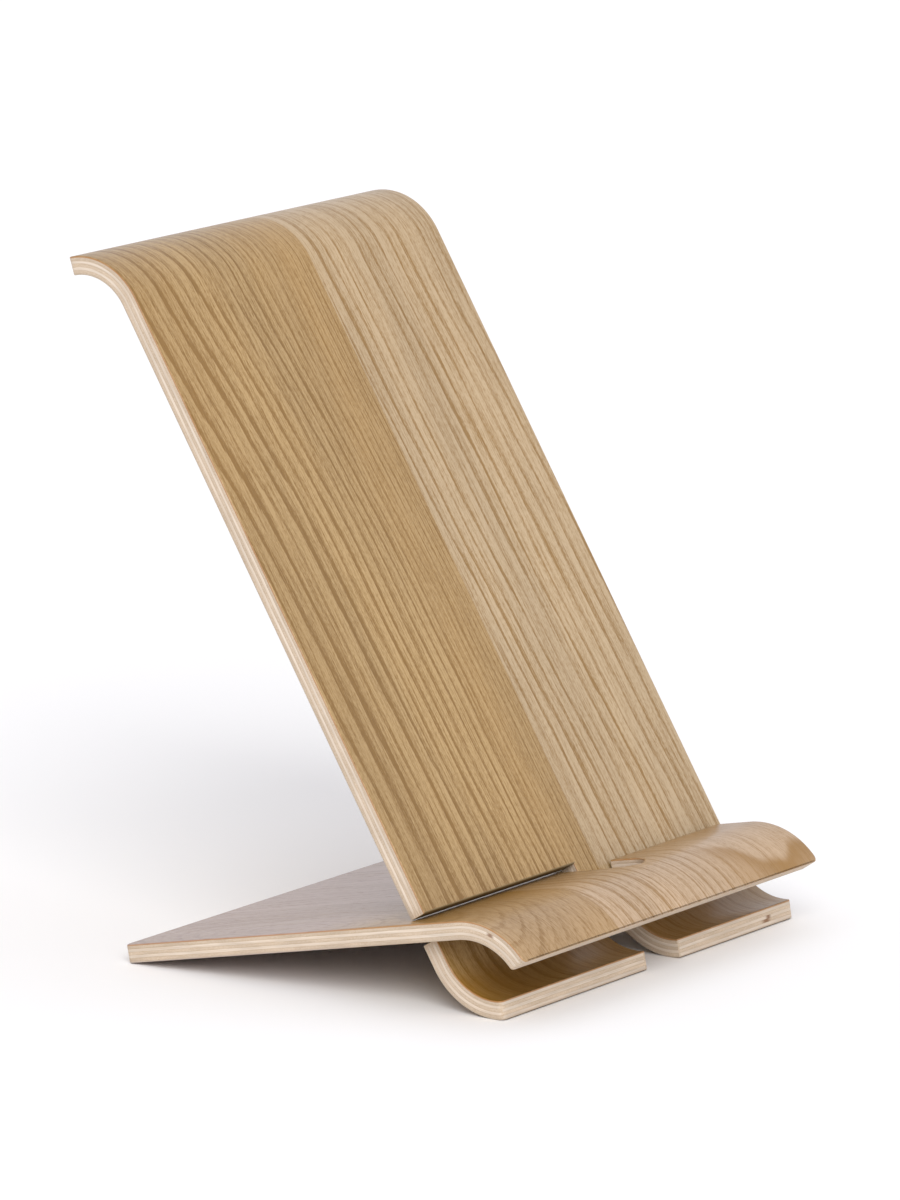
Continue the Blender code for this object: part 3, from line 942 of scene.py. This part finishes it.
# %% Lay up both panels
PANELS = {
    "back_panel": {
        "blank": back_blank,
        "figure": (back_rings, back_warmth, back_force),
        "plies": ["face_veneer", "front_crossband", "front_core_ply", "centre_ply",
                  "rear_core_ply", "rear_crossband", "rear_veneer"],
        "tones": BACK_TONES,
        "seam": BACK_SEAM,
        "end_fade": 0.0,
        "seed": 0.0,
    },
    "base_panel": {
        "blank": base_blank,
        "figure": (base_rings, base_warmth_and_painted_reflection, base_force),
        "plies": ["under_veneer", "under_crossband", "lower_core_ply", "centre_ply",
                  "upper_core_ply", "top_crossband", "top_veneer"],
        "tones": BASE_TONES,
        "seam": BASE_SEAM,
        "end_fade": 0.6,
        "seed": 100.0,
    },
}
PLY_SHADES = (0.95, 1.0, 0.97, 1.02, 0.94)
SEED_PER_PLY = 11.0
PIN_KNOTS = {
    "base_panel_upper_core_ply": [(base_box[0].x, 18.7 * MM, 1.0 * MM)],
    "back_panel_rear_core_ply": [(back_box[1].x - 9.5 * MM, back_mould.low, 1.9 * MM)],
    "back_panel_centre_ply": [(back_box[1].x - 8.6 * MM, back_mould.low, 1.1 * MM)],
}
thickness_levels = [-HALF, -HALF + FACE_VENEER]
thickness_levels += [-HALF + FACE_VENEER + CORE_PLY * (ply + 1) for ply in range(CORE_PLIES)] + [HALF]

for panel, facts in PANELS.items():
    for order, ply in enumerate(facts["plies"]):
        name = f"{panel}_{ply}"
        low, high = thickness_levels[order], thickness_levels[order + 1]
        is_veneer = ply.endswith("veneer")
        grain_across = order % 2 == 1
        if is_veneer:
            levels, insets = face_edge(high, low) if order == 0 else face_edge(low, high)
        else:
            levels, insets = core_edge(low, high)
        piece = lay_up(f"{name}_wood", facts["blank"], levels, insets, facts["figure"], grain_across)
        seed = SEED_PER_PLY * order + facts["seed"]
        if is_veneer:
            is_face = ply in ("face_veneer", "top_veneer")
            edge = EDGE_AMBER if is_face else EDGE_PALE
            looks = (facts["tones"], facts["seam"], edge, facts["end_fade"], seed)
            material = ash_veneer(f"{name}_ash", *looks)
        else:
            looks = (grain_across, PLY_SHADES[order - 1], PIN_KNOTS.get(name, ()), seed)
            material = birch_ply(f"{name}_birch", low, high, *looks)
        piece.data.materials.append(material)
        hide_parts(name)
        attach(piece, panel)
        triangles, volume = 2 * len(piece.data.polygons), round(volume_of(piece.data), 1)
        print(name, "triangles", triangles, "volume mm3", volume)

# %% [markdown]
# ## Floor
#
# The stand is shown the way a catalogue shows it, on plain white paper. The sheet is flat
# and far larger than the stand. Its far edge shows only from very low down, as a horizon.

# %% Floor
FLOOR_SIZE = 12.0
corners = np.array([(-1, -1, 0), (1, -1, 0), (1, 1, 0), (-1, 1, 0)], float) * FLOOR_SIZE / 2
corners[:, 2] = cad_low.z
floor_mesh = bpy.data.meshes.new("floor")
floor_mesh.from_pydata(corners, [], [(0, 1, 2, 3)])
floor = bpy.data.objects.new("floor", floor_mesh)
bpy.context.scene.collection.objects.link(floor)
floor_material = bpy.data.materials.new("floor_paper")
floor_material.use_nodes = True
paper = floor_material.node_tree.nodes["Principled BSDF"]
paper.inputs["Base Color"].default_value = (0.96, 0.955, 0.94, 1.0)
paper.inputs["Roughness"].default_value = 0.85
floor.data.materials.append(floor_material)
print("floor at z", round(cad_low.z / MM, 3), "mm and", FLOOR_SIZE, "m wide")

# %% [markdown]
# ## Light
#
# The light comes from nearly everywhere, and most of all from a wide window on the left.
# Wood seen at a flat angle, such as the tail and the top of the crest, then mirrors the
# pale room and turns greyish, which is what makes the lacquer look real. On the tail that
# greyish reflection is also painted into the veneer's colour.

# %% Light
WINDOW_STRENGTH = 1.8
ROOM_STRENGTH = 0.82
world = bpy.data.worlds.new("studio")
bpy.context.scene.world = world
world.use_nodes = True
room = world.node_tree.nodes["Background"]
room.inputs["Color"].default_value = (0.955, 0.95, 1.0, 1.0)
room.inputs["Strength"].default_value = ROOM_STRENGTH
bpy.context.scene.view_settings.view_transform = "Standard"


def far_soft_light(name, azimuth, height, spread, strength):
    """A large soft light so far off that the whole floor gets it evenly."""
    data = bpy.data.lights.new(name, "SUN")
    data.angle = spread
    data.energy = strength
    lamp = bpy.data.objects.new(name, data)
    bpy.context.scene.collection.objects.link(lamp)
    lamp.matrix_world = turned_camera(azimuth, height, 0.0, 2.0, (0.0, 0.0, 0.05)).T
    print(name, "light shines with strength", strength)


far_soft_light("window", math.radians(-47), math.radians(36), math.radians(38), WINDOW_STRENGTH)

# %% [markdown]
# ## Sizes
#
# The finished surfaces have to fill the same box as the CAD model. The CAD model's box is
# printed in mm.

# %% Sizes
print("CAD box   ", [round(x / MM, 3) for x in list(cad_low) + list(cad_high)])
